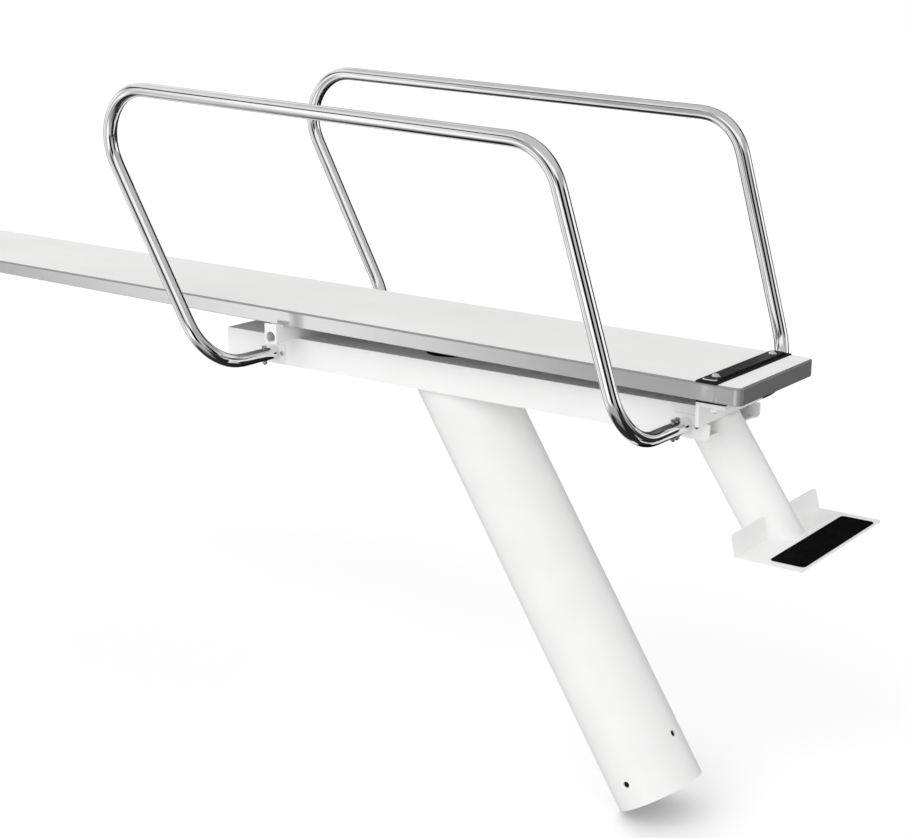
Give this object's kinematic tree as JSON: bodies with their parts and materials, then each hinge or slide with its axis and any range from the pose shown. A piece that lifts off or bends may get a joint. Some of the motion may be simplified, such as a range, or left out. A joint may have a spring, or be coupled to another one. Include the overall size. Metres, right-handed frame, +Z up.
{
  "type": "diving stand",
  "caption": "Springboard diving stand on one raked tubular pedestal, with a box frame, fixed fulcrum, bent handrails and an entry step.",
  "frame": {"origin": "centre of the pedestal's square-cut foot, on the tube's axis", "axes": "+Z up, the board's tip towards -X and its rear end towards +X, a diver who faces the tip has -Y on the left"},
  "size_m": [4.5076, 1.1926, 2.4212],
  "materials": {
    "board_skin": "metal-grey skin, satin",
    "board_core": "laminated softwood, raw",
    "board_coat": "sanded non-slip coat, light grey",
    "hold_down_plate": "dark polished stainless steel",
    "black_rubber": "matt black",
    "tread_rubber": "black, fine non-slip grain",
    "pale_rubber": "light grey, matt",
    "bolts": "bright stainless steel",
    "white_frame": "white powder coat, satin",
    "white_pedestal": "white powder coat, satin",
    "rail": "mirror polished stainless tube"
  },
  "bodies": {
    "root": {"board_shell": "board_skin", "board_core": "board_core", "board_tread": "board_coat", "hold_down_plate": "hold_down_plate", "hold_down_pad": "black_rubber", "rear_pad": "black_rubber", "hold_down_bolts": "bolts", "hold_down_washers": "bolts", "hold_down_nuts": "bolts", "rear_angle": "white_frame", "side_plate_left": "white_frame", "side_plate_right": "white_frame", "top_plate": "white_frame", "bottom_plate": "white_frame", "front_plate": "white_frame", "frame_ribs": "white_frame", "fulcrum_bar": "white_frame", "fulcrum_end_plates": "white_frame", "fulcrum_pad": "pale_rubber", "pedestal_tube": "white_pedestal", "rail_left": "rail", "rail_right": "rail", "rail_spigots": "white_frame", "spigot_bolts": "bolts", "spigot_nuts": "bolts", "rail_bolts": "bolts", "rail_washers": "bolts", "rail_nuts": "bolts", "step_tube": "white_pedestal", "step_cap": "white_frame", "step_plate": "white_frame", "step_tread": "tread_rubber"}
  },
  "joints": []
}
